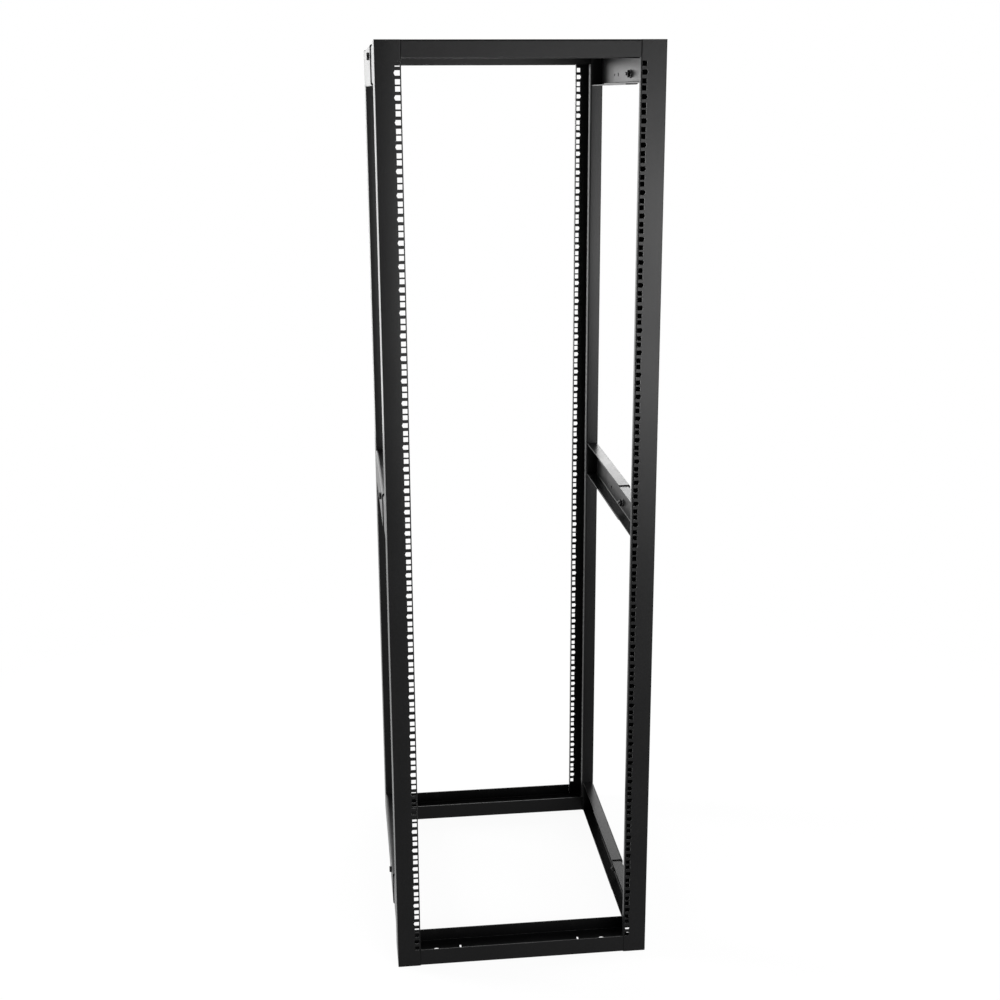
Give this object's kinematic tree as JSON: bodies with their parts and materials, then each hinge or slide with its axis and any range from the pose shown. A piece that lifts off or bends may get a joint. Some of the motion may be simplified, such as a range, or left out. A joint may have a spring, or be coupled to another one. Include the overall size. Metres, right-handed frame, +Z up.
{
  "type": "four post open frame rack",
  "caption": "Tall open frame rack with posts of folded sheet, columns of square holes, cross beams, and bolted side rails that set its depth.",
  "frame": {"origin": "on the floor, in the middle of the footprint", "axes": "+X to the right seen from the front, +Y from the front to the rear, +Z up"},
  "size_m": [0.55, 0.76, 1.9409],
  "materials": {
    "black_powder_coat": "satin"
  },
  "bodies": {
    "root": {"post_front_left": "black_powder_coat", "post_front_right": "black_powder_coat", "post_rear_left": "black_powder_coat", "post_rear_right": "black_powder_coat", "base_beam_front": "black_powder_coat", "base_beam_rear": "black_powder_coat", "top_beam_front": "black_powder_coat", "top_beam_rear": "black_powder_coat", "rail_channel_bottom_left": "black_powder_coat", "rail_channel_bottom_right": "black_powder_coat", "rail_channel_middle_left": "black_powder_coat", "rail_channel_middle_right": "black_powder_coat", "rail_channel_top_left": "black_powder_coat", "rail_channel_top_right": "black_powder_coat", "rail_sleeve_bottom_left": "black_powder_coat", "rail_sleeve_bottom_right": "black_powder_coat", "rail_sleeve_middle_left": "black_powder_coat", "rail_sleeve_middle_right": "black_powder_coat", "rail_sleeve_top_left": "black_powder_coat", "rail_sleeve_top_right": "black_powder_coat"}
  },
  "joints": []
}
